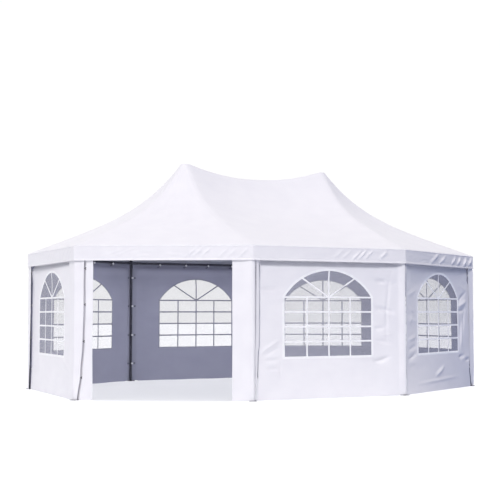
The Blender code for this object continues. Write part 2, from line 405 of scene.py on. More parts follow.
def coated_cloth(name, pale, deep, roughness, sheen):
    """Coated woven cloth: flat tapes in a plain weave, soft mottling and rubbed creases."""
    material, tree = new_material(name)
    weave = product(tree, *(wave_bands(tree, WEAVE_DENSITY, direction, 0.4) for direction in "XY"))
    mottle = noise(tree, cloth_places(tree, 2.6, 3.4), 1.0, 4.0, "2D")
    cells = {"Vector": cloth_places(tree, 5.0, 9.0), "Scale": 1.0}
    creases = node(tree, "ShaderNodeTexVoronoi", cells, feature="DISTANCE_TO_EDGE", voronoi_dimensions="2D")
    rubbed = node(tree, "ShaderNodeMapRange", {"Value": creases["Distance"], "From Max": 0.06})["Result"]
    gloss = {"Value": mottle, "To Min": roughness - 0.06, "To Max": roughness + 0.06}
    inputs = {
        "Base Color": ramp(tree, mottle, (0.3, deep), (0.7, pale)),
        "Roughness": node(tree, "ShaderNodeMapRange", gloss)["Result"],
        "Sheen Weight": sheen,
        "Specular IOR Level": 0.35,
    }
    bumps = (weave, 0.25, 0.0003), (rubbed, 0.25, 0.0006), (mottle, 0.35, 0.006)
    return finish_material(material, inputs, *bumps)


def window_film():
    """Clear soft film with a grey cast, slightly uneven."""
    material, tree = new_material("window_film")
    haze = noise(tree, cloth_places(tree, 3.0, 7.0), 1.0, 3.0, "2D")
    tone = ramp(tree, haze, (0.3, (0.5, 0.5, 0.55)), (0.75, (0.64, 0.64, 0.69)))
    gloss = ramp(tree, haze, (0.3, grey(0.08)), (0.8, grey(0.22)))
    inputs = {"Base Color": tone, "Roughness": gloss, "Alpha": 0.19, "IOR": 1.45}
    return finish_material(material, inputs, (haze, 0.3, 0.004))


def welded_strip(name, deep, pale):
    """Smooth strip with the faint ribs that the welding tool leaves."""
    material, tree = new_material(name)
    grain = noise(tree, cloth_places(tree, 14.0, 14.0), 1.0, 5.0, "2D")
    ribs = wave_bands(tree, 90.0, "DIAGONAL")
    inputs = {"Base Color": ramp(tree, grain, (0.3, deep), (0.7, pale)), "Roughness": 0.38}
    return finish_material(material, inputs, (ribs, 0.2, 0.0003), (grain, 0.3, 0.001))


def tube_steel_painted_shade():
    """Coated steel tube with a faint spangle and light wear; its near-black tone is painted shade for the
    tubes inside the tent.
    """
    material, tree = new_material("tube_steel_painted_shade")
    places = object_places(tree)
    cells = {"Vector": places, "Scale": 63.0}
    spangle = node(tree, "ShaderNodeTexVoronoi", cells, feature="SMOOTH_F1")["Distance"]
    wear = noise(tree, places, 19.8, 6.0)
    mixed = product(tree, spangle, wear)
    # Near-black tones: painted shade, darker than the steel's own coat.
    tone = ramp(tree, mixed, (0.05, (0.05, 0.05, 0.065)), (0.5, (0.125, 0.125, 0.155)))
    gloss = ramp(tree, wear, (0.3, grey(0.3)), (0.75, grey(0.5)))
    inputs = {"Base Color": tone, "Roughness": gloss, "Metallic": 0.55}
    return finish_material(material, inputs, (wear, 0.2, 0.0008))


def moulded(name, dark, light, roughness, scale):
    """Moulded plastic or braid with a fine grain."""
    material, tree = new_material(name)
    grain = noise(tree, object_places(tree), scale, 4.0)
    inputs = {"Base Color": ramp(tree, grain, (0.3, dark), (0.7, light)), "Roughness": roughness}
    return finish_material(material, inputs, (grain, 0.3, 0.0006))


def make_materials():
    return {
        "roof": coated_cloth("roof_cloth", (0.81, 0.8, 0.84), (0.785, 0.775, 0.82), 0.5, 0.08),
        "wall": coated_cloth("wall_cloth", (0.83, 0.82, 0.86), (0.8, 0.79, 0.835), 0.46, 0.08),
        # The inside materials are darker, bluer copies of the outside cloth: painted shade for the inside
        # of the tent, not the cloth's own colour.
        "roof_inside_painted_shade": coated_cloth("roof_cloth_inside_painted_shade", (0.6, 0.61, 0.68), (0.55, 0.56, 0.64), 0.6, 0.05),
        "wall_inside_painted_shade": coated_cloth(
            "wall_cloth_inside_painted_shade", (0.33, 0.335, 0.43), (0.31, 0.315, 0.41), 0.6, 0.05
        ),
        "film": window_film(),
        "strip": welded_strip("welded_strip", (0.86, 0.86, 0.9), (0.93, 0.93, 0.95)),
        # The strips' inside copy is dark blue-grey: painted shade for the inside of the tent.
        "strip_inside_painted_shade": welded_strip("welded_strip_inside_painted_shade", (0.22, 0.225, 0.3), (0.27, 0.275, 0.35)),
        "steel": tube_steel_painted_shade(),
        "ball": moulded("tie_ball", (0.75, 0.75, 0.8), (0.85, 0.85, 0.88), 0.35, 160.0),
        "elastic": moulded("tie_elastic", (0.05, 0.05, 0.06), (0.16, 0.16, 0.18), 0.8, 900.0),
    }


# Roof cloth

ROOF_ROWS = 34
ROW_CROWDING = 1.15
SIDE_COLUMNS = 44
# How many columns of the valance stand under each column of the roof, side by side
VALANCE_SPLITS = (6, 2, 2, 2, 2, 4, 6, 6)
ROOF_PROUD = 0.0015
# Reach and depth of the cloth's rounding at a corner of the valance, and over a hip
CORNER_SOFT = 0.02
CORNER_DIP = 0.0022
HIP_SOFT = 0.08
HIP_DIP = 0.0044
HEM = 0.022
EAVE_BEAD = 0.011
VALANCE_FLARE = 0.001
ROOF_SLOPE = 2.9
BAND = 0.036
BAND_PROUD = 0.0009
BEAD_PROUD = 0.0032
HEM_PROUD = 0.0016
VALANCE_DROP = EAVE_TOP - VALANCE_BOTTOM


def rise(share):
    return STRAIGHT_SHARE * share + (1 - STRAIGHT_SHARE) * share**STEEP_POWER


def ridge_profile(x):
    share = np.minimum(1.0, np.abs(x) / (HALF_RIDGE - CROWN_FLAT)) ** 2
    height = PEAK_TOP - RIDGE_SAG * (1 - share)
    return height, RIDGE_FLAT + (CROWN_FLAT - RIDGE_FLAT) * share


def roof_points(side, across, down):
    """Points of the roof's straight form: shares along the side and down to the eave."""
    first, second = side % 8, (side + 1) % 8
    a, b = peak_of(first), peak_of(second)
    foot = a + (b - a) * across[..., None]
    height, flat = ridge_profile(foot[..., 0])
    reach = (flat + (SIDE - flat) * down)[..., None]
    start = foot + unit(CORNERS[first][2]) * reach
    end = foot + unit(CORNERS[second][2]) * reach
    plan = start + (end - start) * across[..., None]
    up = EAVE_TOP + (height - EAVE_TOP) * rise(1 - down)
    return np.concatenate([plan, up[..., None]], axis=-1)


def row_width(side, down):
    """The length of a level line of the roof between its two hips."""
    if CORNERS[side % 8][1] != CORNERS[(side + 1) % 8][1]:
        return np.full_like(down, SIDE)
    return CROWN_FLAT + (SIDE - CROWN_FLAT) * down


def corner_dip(distance):
    """The rounding of the valance at a corner, as a height at a distance from it."""
    return -CORNER_DIP * clamped(1 - distance / CORNER_SOFT) ** 2


def hip_rise(side, across, down):
    """The roof cloth's height beside its hips: it sinks to them in a soft round."""
    width = row_width(side, down)
    total = 1.0
    for distance in (across * width, (1 - across) * width):
        total = total * (1 - clamped(1 - distance / HIP_SOFT) ** 2)
    dip = HIP_DIP * (turn_at(side) + (turn_at(side + 1) - turn_at(side)) * across) / math.radians(30)
    share = clamped((1 - down) / 0.06)
    eave = corner_dip(np.minimum(across, 1 - across) * width)
    return share * dip * total + (1 - share) * eave


def roof_heights(side, across, down):
    """How far the roof cloth stands off its straight form: slack, creases and soft hips."""
    distance = np.minimum(across, 1 - across) * row_width(side, down)
    along, slope = across * SIDE, down * ROOF_SLOPE
    height = 0.0016 * ripples(along, slope, ROOF_SLACK_SEED + side, 0.9)
    low = clamped((slope - 2.2) / 0.6)
    height += low * 0.0012 * ripples(along, slope * 2.2, ROOF_LOW_SEED + side, 0.34)
    draw = random.Random(ROOF_CREASE_SEED + side)
    for _ in range(7):
        middle = drawn(draw, (0.3, 2.2), (2.2, 2.75))
        angle = draw.choice((-1, 1)) * draw.uniform(4, 28)
        form = drawn(draw, (0.3, 0.8), (0.035, 0.06), (0.0045, 0.009), (-0.3, 0.3))
        height += crease(along, slope, middle, angle, *form)
    height -= 0.01 * np.sin(np.pi * across) * np.sin(np.pi * down)
    fade = clamped(distance / 0.12) * clamped((1 - down) / 0.02)
    return ROOF_PROUD + height * fade + hip_rise(side, across, down)


def valance_depths():
    """Depths below the eave of the valance's rows, with close pairs at bead and hem."""
    bead = [0.0, 0.003, EAVE_BEAD, EAVE_BEAD + 0.002]
    hem = [VALANCE_DROP - HEM - 0.002, VALANCE_DROP - HEM, VALANCE_DROP - HEM / 2, VALANCE_DROP]
    return np.array([*bead, *np.linspace(bead[-1], hem[0], 16)[1:-1], *hem])


# Groups of slanting creases in the valance: first and last place, number, angle, height, width
VALANCE_CREASES = {
    "entrance": (
        (0.55, 0.72, 2, 20, 0.006, 0.016),
        (1.64, 1.86, 3, 42, 0.013, 0.017),
        (2.1, 2.36, 3, 42, 0.014, 0.018),
    ),
    "front": (
        (1.36, 1.5, 2, 36, 0.008, 0.018),
        (1.66, 1.86, 3, 42, 0.013, 0.018),
        (2.12, 2.12, 1, 40, 0.018, 0.02),
    ),
    "front_right": (
        (1.0, 1.3, 2, 24, 0.02, 0.026),
        (1.7, 1.92, 2, 38, 0.025, 0.024),
        (2.16, 2.37, 2, 42, 0.028, 0.024),
    ),
}
PLAIN_VALANCE_CREASES = ((1.2, 1.45, 3, 40, 0.008, 0.016), (2.0, 2.3, 3, 40, 0.008, 0.016))


def valance_heights(side, along, depths):
    """How far the valance stands off its straight form: flare, bead, hem and creases."""
    height = 0.0011 * ripples(along, depths, VALANCE_SEED + side, 0.2)
    draw = random.Random(VALANCE_CREASE_SEED + side)
    for first, last, number, angle, size, width in VALANCE_CREASES.get(SIDES[side], PLAIN_VALANCE_CREASES):
        length = 0.17 / math.sin(math.radians(angle))
        for place in np.linspace(first, last, number):
            shift, level = drawn(draw, (-0.012, 0.012), (0.085, 0.11))
            longer, wider, higher = drawn(draw, (0.8, 1.1), (0.85, 1.1), (0.75, 1.1))
            form = -angle - draw.uniform(-3, 3), length * longer, width * wider, size * higher
            height += crease(along, depths, (place + shift, level), *form)
    for _ in range(16):
        middle = drawn(draw, (0.1, 2.4), (0.03, 0.16))
        form = drawn(draw, (0.15, 0.6), (0.012, 0.02), (-0.0035, 0.0045))
        height += crease(along, depths, middle, draw.uniform(-14, 10), *form)
    distance = np.minimum(along, SIDE - along)
    height *= clamped(distance / 0.06) * clamped(depths / 0.02)
    height += VALANCE_FLARE * (depths / VALANCE_DROP) ** 1.6
    height += np.where((depths > 0.001) & (depths < EAVE_BEAD + 0.001), BEAD_PROUD, 0.0)
    height += np.where(depths > VALANCE_DROP - HEM - 0.001, HEM_PROUD, 0.0)
    height += 0.005 * clamped((depths - VALANCE_DROP + HEM) / HEM)
    return ROOF_PROUD + height + corner_dip(distance)


def side_shares():
    """Shares along a side, with extra places beside the hips, without the last one."""
    near = [0.004, 0.009, 0.015]
    inner = [step / SIDE_COLUMNS for step in range(1, SIDE_COLUMNS)]
    return np.array([0.0] + near + inner + [1 - share for share in reversed(near)])


def split_shares(shares, number):
    """Each step between shares cut in a number of equal parts."""
    ends = np.append(shares[1:], 1.0)
    parts = [shares + (ends - shares) * part / number for part in range(number)]
    return np.stack(parts, axis=1).ravel()


def ridge_faces(per_side):
    """Faces that close the roof between the bays along the ridge and over the crowns."""
    back = [3 * per_side + step for step in range(per_side + 1)]
    front = [(7 * per_side + step) % (8 * per_side) for step in range(per_side + 1)]
    front.reverse()
    faces = []
    for step in range(per_side):
        faces.append((back[step], back[step + 1], front[step + 1], front[step]))
    faces.append(tuple(range(3 * per_side + 1)))
    faces.append(tuple(range(4 * per_side, 7 * per_side + 1)))
    return faces


def make_roof(materials):
    """One cloth from the ridge to the valance's hem, finer in the valance."""
    shares, depths = side_shares(), valance_depths()
    downs = (np.arange(ROOF_ROWS) / ROOF_ROWS) ** ROW_CROWDING
    roof, valance = [], []
    for side in range(8):
        across, down = np.meshgrid(shares, downs)
        uvs = np.stack([(side + across) * SIDE, -down * ROOF_SLOPE], axis=-1)
        roof.append((roof_points(side, across, down), roof_heights(side, across, down), uvs))
        across, depth = np.meshgrid(split_shares(shares, VALANCE_SPLITS[side]), depths)
        edge = roof_points(side, across, np.ones_like(across))
        edge[..., 2] -= depth
        uvs = np.stack([(side + across) * SIDE, -ROOF_SLOPE - depth], axis=-1)
        valance.append((edge, valance_heights(side, across * SIDE, depth), uvs))
    upper, lower = ([np.concatenate(kind, axis=1) for kind in zip(*parts)] for parts in (roof, valance))
    rows, coarse = upper[1].shape
    many = lower[1].shape[1]
    first, top = rows * coarse, (rows - 1) * coarse
    faces = [face[::-1] for face in grid_faces(rows, coarse, closed=True)]
    start = 0
    for column in range(coarse):
        number = VALANCE_SPLITS[column // len(shares)]
        below = [first + (start + part) % many for part in range(number + 1)]
        faces.append((top + (column + 1) % coarse, top + column, *below))
        start += number
    for face in grid_faces(len(depths), many, closed=True):
        faces.append(tuple(first + index for index in reversed(face)))
    faces.extend(ridge_faces(len(shares)))
    points, heights, uvs = (
        np.concatenate([part.reshape(-1, *part.shape[2:]) for part in pair]) for pair in zip(upper, lower)
    )
    form = bpy.data.meshes.new("roof_form")
    form.from_pydata(points.tolist(), [], faces)
    normals = np.empty(points.size)
    form.vertex_normals.foreach_get("vector", normals)
    bpy.data.meshes.remove(form)
    points += normals.reshape(-1, 3) * heights[:, None]
    cloth = [materials["roof"], materials["roof_inside_painted_shade"]]
    roof_piece = sheet_mesh("roof_cloth", points, uvs, faces, cloth, ROOF_CLOTH)
    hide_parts("roof_canopy")
    return roof_piece


def hip_band_points(corner, downs):
    """Points of a hip's welded band, level by level, from one of its edges to the other."""
    columns = []
    for step in (-1.0, -0.5, 0.0, 0.5, 1.0):
        side = (corner - 1) % 8 if step < 0 else corner
        share = abs(step) * BAND / 2 / row_width(side, downs)
        across = 1 - share if step < 0 else share
        here = roof_points(side, across, downs)
        beside = roof_points(side, across + 0.001, downs) - here
        normal = np.cross(roof_points(side, across, downs + 0.001) - here, beside)
        normal /= np.linalg.norm(normal, axis=-1, keepdims=True)
        lift = ROOF_PROUD + hip_rise(side, across, downs) + BAND_PROUD
        columns.append(here + normal * lift[:, None])
    return np.stack(columns, axis=1)


def make_hip_bands(materials):
    """The welded bands over the seams that run down the eight hips."""
    downs = np.linspace(0.03, 0.995, 61)
    uvs = np.stack(np.meshgrid(np.linspace(0, BAND, 5), downs), axis=-1)
    faces = [face[::-1] for face in grid_faces(len(downs), 5)]
    pieces = []
    for corner, (name, _, _) in enumerate(CORNERS):
        points = hip_band_points(corner, downs)
        pieces.append(sheet_mesh("hip_band_" + name, points, uvs, faces, [materials["roof"]], BAND_CLOTH))
    return pieces


# Walls

WINDOW_MIDDLE = SIDE / 2
WINDOW_EYE = 1.15
# Rays round the window and rings out from it: fine, middling and coarse walls
WALL_GRIDS = {"front": (620, 42), "front_right": (620, 42), "left": (420, 32)}
PLAIN_WALL_GRID = (260, 26)
EDGE_REACH = 0.38

FILM_STEPS = 49
# Where the window frame's strips are cut so that they can follow the slack wall
FRAME_CUTS = (
    (Vector((1, 0, 0)), [step * 0.1 + 0.003 for step in range(-8, 9)]),
    (Vector((0, 1, 0)), [step * 0.1 + 0.003 for step in range(4, 20)]),
)


def window_gap(across, up):
    """Roughly how far a place of the wall is outside the window."""
    beside = np.abs(across - WINDOW_MIDDLE) - HALF_WINDOW
    over = np.hypot(across - WINDOW_MIDDLE, np.maximum(up - ARCH_CENTRE, 0)) - ARCH_RADIUS
    return np.maximum(np.maximum(beside, WINDOW_BOTTOM - up), over)


# How deep each wall hangs inside its straight place at its start and end, how much deeper
# its ties hold it under the rail, and its slide
WALL_LEANS = {
    "front": (0.056, 0.056, 0.038, -0.02),
    "front_right": (0.067, 0.031, 0.022, 0.0),
    "left": (0.061, 0.004, 0.046, 0.0),
    "back": (0.05, 0.05, 0.035, 0.0),
}
PLAIN_WALL_LEAN = (0.044, 0.044, 0.035, 0.0)


def wall_lean(side, across, up):
    """The slack that a wall, its film and its window frame share, outwards."""
    first, last, tuck, _ = WALL_LEANS.get(SIDES[side], PLAIN_WALL_LEAN)
    distance = np.minimum(across, SIDE - across)
    hold = bent(distance, ((0.03, 0.0), (0.11, 0.55), (0.45, 0.95), (0.9, 1.0)), 0.014)
    if SIDES[side] == "left":
        hold = np.where(across < SIDE / 2, eased(across, ((0.12, 0.6), (0.34, 1.0))), hold)
    if SIDES[side] == "front":
        beside_flap = across - eased(up, FLAP_ON_FRONT[1])
        held = ((-0.08, 0.0), (-0.02, 0.25), (0.026, 0.85), (0.33, 0.97), (0.8, 1.0))
        hold = np.where(across < SIDE / 2, bent(beside_flap, held, 0.006), hold)
    level = 1 - 0.35 * clamped(1 - up) ** 2
    level = level * eased(up, ((1.64, 1.0), (1.86, 0.6), (1.93, 0.5), (1.96, 0.5), (2.045, 0.0)))
    tied = clamped((up - 1.845) / 0.085) ** 2 * eased(up, ((1.96, 1.0), (2.045, 0.0)))
    tied = tuck * tied * clamped((distance - 0.05) / 0.1)
    loose = eased(up, ((0.0, 1.0), (1.6, 1.0), (1.95, 0.0), (2.1, 0.0)))
    away = clamped((distance - 0.04) / 0.3)
    swell = 0.003 * ripples(across, up, WALL_SWELL_SEED + side, 1.25)
    flare = 0.006 * clamped(1 - up / 0.3) ** 2
    lean = (first + (last - first) * across / SIDE) * hold * level
    return (swell + flare) * loose * away - lean - tied


# Creases that the photo shows: middle (along, up), angle, length, width, height, and any bend
PANEL_CREASES = {
    "front": (
        ((0.31, 0.74), 30, 0.42, 0.026, 0.0156),
        ((0.33, 0.66), 26, 0.34, 0.024, -0.013),
        ((0.34, 0.545), 4, 0.34, 0.028, -0.0156, -0.6),
        ((0.36, 0.43), 0, 0.26, 0.025, -0.0156),
        ((0.47, 0.42), 88, 0.4, 0.022, -0.0091),
        ((0.3, 1.53), 2, 0.5, 0.035, -0.013),
        ((0.32, 1.38), -4, 0.5, 0.035, 0.0065),
        ((2.15, 1.66), -11, 0.28, 0.032, -0.0208, 0.4),
        ((2.19, 1.25), -13, 0.4, 0.036, -0.0234, 0.3),
        ((2.1, 0.98), 7, 0.24, 0.03, -0.0169, -0.3),
        ((2.17, 0.79), -9, 0.34, 0.03, -0.0156, 0.5),
        ((2.13, 0.52), 13, 0.32, 0.03, -0.0312, -0.8),
        ((2.22, 1.3), 86, 1.3, 0.024, -0.0091, 0.1),
        ((1.15, 0.36), 18, 0.55, 0.06, 0.0078),
    ),
    "front_right": (
        ((0.32, 0.55), 14, 0.4, 0.035, -0.0232),
        ((0.33, 0.68), 12, 0.36, 0.03, -0.0174),
        ((0.3, 0.82), 8, 0.36, 0.03, 0.0145),
        ((0.3, 1.1), -12, 0.5, 0.035, 0.0116, 0.1),
        ((0.3, 1.5), 14, 0.5, 0.035, 0.0116),
        ((2.12, 1.45), 30, 0.42, 0.035, -0.0203),
        ((2.12, 1.34), 18, 0.42, 0.035, 0.0232),
        ((2.1, 1.24), 10, 0.4, 0.03, -0.0145),
        ((2.18, 1.05), 80, 0.6, 0.03, -0.0174),
        ((2.1, 0.85), 84, 0.6, 0.03, 0.0174),
        ((2.04, 0.8), 84, 0.6, 0.026, -0.0145),
        ((2.1, 0.5), 6, 0.26, 0.025, -0.0203),
        ((2.3, 0.44), 4, 0.2, 0.022, -0.0145),
        ((1.28, 0.295), 23, 0.42, 0.03, 0.0232),
        ((1.2, 0.16), 2, 1.7, 0.022, 0.013),
        ((1.25, 1.22), 1, 2.3, 0.016, -0.0058),
    ),
    "left": (
        ((0.45, 0.42), 30, 0.6, 0.05, 0.009),
        ((2.1, 0.48), -24, 0.6, 0.045, 0.011, 0.1),
        ((2.28, 1.1), 89, 1.7, 0.026, -0.007, 0.02),
        ((0.32, 0.9), 70, 0.6, 0.04, 0.006),
    ),
}


def wall_folds(side, across, up):
    """A wall's own creases, which die away at its window and its posts."""
    height = 0.0007 * ripples(across, up, WALL_SEED + side, 0.2)
    draw = random.Random(WALL_CREASE_SEED + side)
    for _ in range(16):
        middle = drawn(draw, (0.1, 2.4), (0.1, 1.9))
        size = drawn(draw, (0.3, 0.9), (0.035, 0.065), (-0.0055, 0.0065))
        height += crease(across, up, middle, draw.gauss(0, 14), *size, bend=draw.uniform(-0.3, 0.3))
    for _ in range(10):
        middle = (draw.choice((0.25, 2.25)) + draw.uniform(-0.12, 0.12), draw.uniform(0.2, 1.8))
        size = drawn(draw, (0.2, 0.45), (0.024, 0.038), (-0.007, 0.008))
        height += crease(across, up, middle, draw.gauss(0, 35), *size)
    for middle, *form in PANEL_CREASES.get(SIDES[side], ()):
        height += crease(across, up, middle, *form)
    fade = clamped(window_gap(across, up) / 0.09)
    fade *= clamped(np.minimum(across, SIDE - across) / 0.06)
    fade *= eased(up, ((0.0, 0.5), (0.1, 1.0), (1.95, 1.0), (2.03, 0.1), (2.1, 0.0)))
    return height * fade


def cloth_on_side(side, across, up, heights, inset):
    """World points of cloth on a side, with heights outwards from the given inset."""
    plan, outward = round_posts(side, across, inset)
    plan = plan + outward * heights[..., None]
    return np.concatenate([plan, up[..., None]], axis=-1)


def wall_points(side, across, up, heights, inset):
    """World points of a wall, its film or its window frame, which slide along together."""
    slide = WALL_LEANS.get(SIDES[side], PLAIN_WALL_LEAN)[3]
    slide = slide * eased(np.minimum(across, SIDE - across), ((0.05, 0.0), (0.35, 1.0), (1.3, 1.0)))
    return cloth_on_side(side, across + slide, up, heights, inset)


# The walls' upright edges: (height, distance from the corner), beyond it where negative
CLOSED_EDGE = ((0.0, 0.03), (1.0, 0.026), (2.1, 0.024))
WALL_EDGES = {
    "front": (
        (
            (0.0, 0.067), (0.1, 0.078), (0.35, 0.1), (0.6, 0.108), (0.78, 0.128), (1.2, 0.132), (1.7, 0.13),
            (1.9, 0.122), (2.1, 0.122),
        ),
        (
            (0.0, -0.03), (0.15, -0.013), (0.35, -0.005), (0.6, -0.007), (0.9, 0.001), (1.2, -0.005),
            (1.45, 0.005), (1.7, 0.003), (1.85, -0.003), (2.1, -0.001),
        ),
    ),
    "front_right": (
        ((0.0, 0.026), (0.5, 0.022), (1.1, 0.027), (1.6, 0.022), (2.1, 0.024)),
        (
            (0.0, 0.1), (0.28, 0.138), (0.4, 0.13), (0.5, 0.06), (0.7, 0.03), (1.5, 0.03), (1.62, 0.12),
            (1.75, 0.2), (2.1, 0.24),
        ),
    ),
    "left": (((0.0, 0.125), (0.6, 0.145), (1.2, 0.14), (2.1, 0.15)), CLOSED_EDGE),
}


def ray_lengths(cos, sin, half, low, high):
    """How far rays run inside a rectangle around their origin."""
    beside = half / np.maximum(np.abs(cos), 1e-9)
    above = np.where(sin > 0, high, low) / np.maximum(np.abs(sin), 1e-9)
    return np.minimum(beside, above)


def wall_grid(rays, rings):
    """Rings of places on a plain wall, from its window's edge out to its own edges."""
    corners = [(x, z) for x in (-WINDOW_MIDDLE, WINDOW_MIDDLE) for z in (WALL_BOTTOM, WALL_TOP)]
    corners += [(x, z) for x in (-HALF_WINDOW, HALF_WINDOW) for z in (WINDOW_BOTTOM, WINDOW_SPRING)]
    exact = [math.atan2(z - WINDOW_EYE, x) % (2 * math.pi) for x, z in corners]
    angles = [2 * math.pi * ray / rays for ray in range(rays)]
    apart = 0.6 * math.pi / rays
    angles = [angle for angle in angles if min(abs(angle - other) for other in exact) > apart]
    angles = np.array(sorted(angles + exact, reverse=True))
    cos, sin = np.cos(angles), np.sin(angles)
    inner = ray_lengths(cos, sin, HALF_WINDOW, WINDOW_EYE - WINDOW_BOTTOM, math.inf)
    drop = WINDOW_EYE - ARCH_CENTRE
    inner = np.minimum(inner, -drop * sin + np.sqrt((drop * sin) ** 2 - drop**2 + ARCH_RADIUS**2))
    outer = ray_lengths(cos, sin, WINDOW_MIDDLE, WINDOW_EYE - WALL_BOTTOM, WALL_TOP - WINDOW_EYE)
    length = inner + (outer - inner) * np.linspace(0, 1, rings + 1)[:, None]
    return WINDOW_MIDDLE + length * cos, WINDOW_EYE + length * sin


def fit_edges(across, up, left, right):
    """Moves the places near a wall's upright edges so that the edges follow their knots."""
    low, high = eased(up, left), SIDE - eased(up, right)
    span = SIDE - EDGE_REACH
    near = low + across / EDGE_REACH * (EDGE_REACH - low)
    far = span + (across - span) / EDGE_REACH * (high - span)
    return np.select([across < EDGE_REACH, across > span], [near, far], across)


def make_wall(side, materials):
    """A closed side's cloth, which reaches the ground except at the posts' foot plates."""
    name = SIDES[side]
    across, up = wall_grid(*WALL_GRIDS.get(name, PLAIN_WALL_GRID))
    across = fit_edges(across, up, *WALL_EDGES.get(name, (CLOSED_EDGE, CLOSED_EDGE)))
    by_post = np.minimum(across, SIDE - across) < 0.12
    low = np.where(by_post, WALL_BOTTOM - 0.001, 0.0) + 0.0012 * (1 + np.sin(across * 9 + side))
    up = np.maximum(up - (WALL_BOTTOM - low) * clamped(1 - up / 0.15), 0.0)
    heights = wall_lean(side, across, up) + wall_folds(side, across, up)
    points = wall_points(side, across, up, heights, WALL_INSET)
    faces = grid_faces(*across.shape, closed=True)
    cloth = [materials["wall"], materials["wall_inside_painted_shade"]]
    wall = sheet_mesh("wall_cloth_" + name, points, cloth_uvs(side, across, up), faces, cloth, WALL_CLOTH)
    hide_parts("wall_" + name)
    return wall


def make_film(side, materials):
    """The clear film behind a wall's opening, which laps behind the cloth all round."""
    name = SIDES[side]
    edge, reach = HALF_WINDOW + FILM_LAP, ARCH_RADIUS + FILM_LAP
    across = np.linspace(-edge, edge, FILM_STEPS)
    low, top = WINDOW_BOTTOM - FILM_LAP, ARCH_CENTRE + np.sqrt(reach**2 - across**2)
    up = low + (top - low) * np.linspace(0, 1, FILM_STEPS)[:, None]
    across = np.broadcast_to(WINDOW_MIDDLE + across, up.shape).copy()
    loose = clamped(-window_gap(across, up) / 0.1)
    heights = 0.0012 * loose * ripples(across, up * 1.6, FILM_SEED + side, 0.3)
    heights += wall_lean(side, across, up)
    points = wall_points(side, across, up, heights, WALL_INSET + WALL_CLOTH + TOUCH)
    uvs = cloth_uvs(side, across, up)
    film = sheet_mesh("window_film_" + name, points, uvs, grid_faces(*up.shape), [materials["film"]], FILM)
    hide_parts("window_" + name)
    return film


def arc_points(start, end, radius, count):
    """Points on a circle round the arch's centre, from one place to another."""
    first, last = (math.atan2(z - ARCH_CENTRE, x) for x, z in (start, end))
    angles = [first + (last - first) * step / count for step in range(count + 1)]
    return [(radius * math.cos(angle), ARCH_CENTRE + radius * math.sin(angle)) for angle in angles]


def frame_outline():
    """The outer edge of a window's welded border."""
    edge, reach = HALF_WINDOW + BORDER, ARCH_RADIUS + BORDER
    low, top = WINDOW_BOTTOM - BORDER, ARCH_CENTRE + math.sqrt(reach**2 - edge**2)
    return [(-edge, low), (edge, low)] + arc_points((edge, top), (-edge, top), reach, 40)


def pane_outlines():
    """The clear panes below the spring line, as rectangles between the bars."""
    wide = WINDOW_WIDTH / PANES_ACROSS
    tall = (WINDOW_SPRING - WINDOW_BOTTOM) / PANES_UP
    panes = []
    for column in range(PANES_ACROSS):
        left = -HALF_WINDOW + column * wide + (BAR / 2 if column else 0.0)
        right = -HALF_WINDOW + (column + 1) * wide - (BAR / 2 if column < PANES_ACROSS - 1 else 0.0)
        for row in range(PANES_UP):
            low = WINDOW_BOTTOM + row * tall + (BAR / 2 if row else 0.0)
            high = WINDOW_BOTTOM + (row + 1) * tall - BAR / 2
            panes.append([(left, low), (right, low), (right, high), (left, high)])
    return panes


def ray_edge(angle, side_of_bar):
    """Origin and direction of one edge of a fan bar that starts at the spring line's middle."""
    x, z = unit(angle)
    offset = side_of_bar * BAR / 2
    return (-z * offset, WINDOW_SPRING + x * offset), (x, z)


def meet_circle(origin, direction):
    """Where a ray meets the window's arch."""
    x, z = origin[0], origin[1] - ARCH_CENTRE
    along = x * direction[0] + z * direction[1]
    length = -along + math.sqrt(along**2 - (x**2 + z**2) + ARCH_RADIUS**2)
    return origin[0] + direction[0] * length, origin[1] + direction[1] * length


def meet_line(first, second):
    """Where two rays cross."""
    (ax, az), (adx, adz) = first
    (bx, bz), (bdx, bdz) = second
    length = ((bx - ax) * bdz - (bz - az) * bdx) / (adx * bdz - adz * bdx)
    return ax + adx * length, az + adz * length


def fan_outlines():
    """The clear panes of the fan, between the spring bar, the slanting bars and the arch."""
    angles = (0, FAN_ANGLE, 90, 180 - FAN_ANGLE, 180)
    panes = []
    for lower, upper in zip(angles, angles[1:]):
        first, second = ray_edge(lower, 1), ray_edge(upper, -1)
        arch = arc_points(meet_circle(*first), meet_circle(*second), ARCH_RADIUS, 12)
        panes.append([meet_line(first, second), *arch])
    return panes


def frame_lattice(name):
    """A window's border and bars as flat cut strips: places along, heights and faces."""
    curve = bpy.data.curves.new(name, "CURVE")
    curve.dimensions = "2D"
    curve.fill_mode = "BOTH"
    for outline in [frame_outline(), *pane_outlines(), *fan_outlines()]:
        add_line(curve, [(x, z, 0.0) for x, z in outline], closed=True)
    flat = link(name + "_flat", curve)
    lattice = bmesh.new()
    lattice.from_mesh(evaluated_mesh(flat))
    bpy.data.objects.remove(flat)
    bmesh.ops.remove_doubles(lattice, verts=lattice.verts, dist=0.0001)
    for axis, places in FRAME_CUTS:
        for place in places:
            parts = lattice.verts[:] + lattice.edges[:] + lattice.faces[:]
            bmesh.ops.bisect_plane(lattice, geom=parts, plane_co=axis * place, plane_no=axis)
    bmesh.ops.recalc_face_normals(lattice, faces=lattice.faces)
    if lattice.faces[0].normal.z < 0:
        bmesh.ops.reverse_faces(lattice, faces=lattice.faces)
    places = np.array([(vert.co.x + WINDOW_MIDDLE, vert.co.y) for vert in lattice.verts])
    faces = [tuple(vert.index for vert in face.verts) for face in lattice.faces]
    lattice.free()
    return places[:, 0], places[:, 1], faces


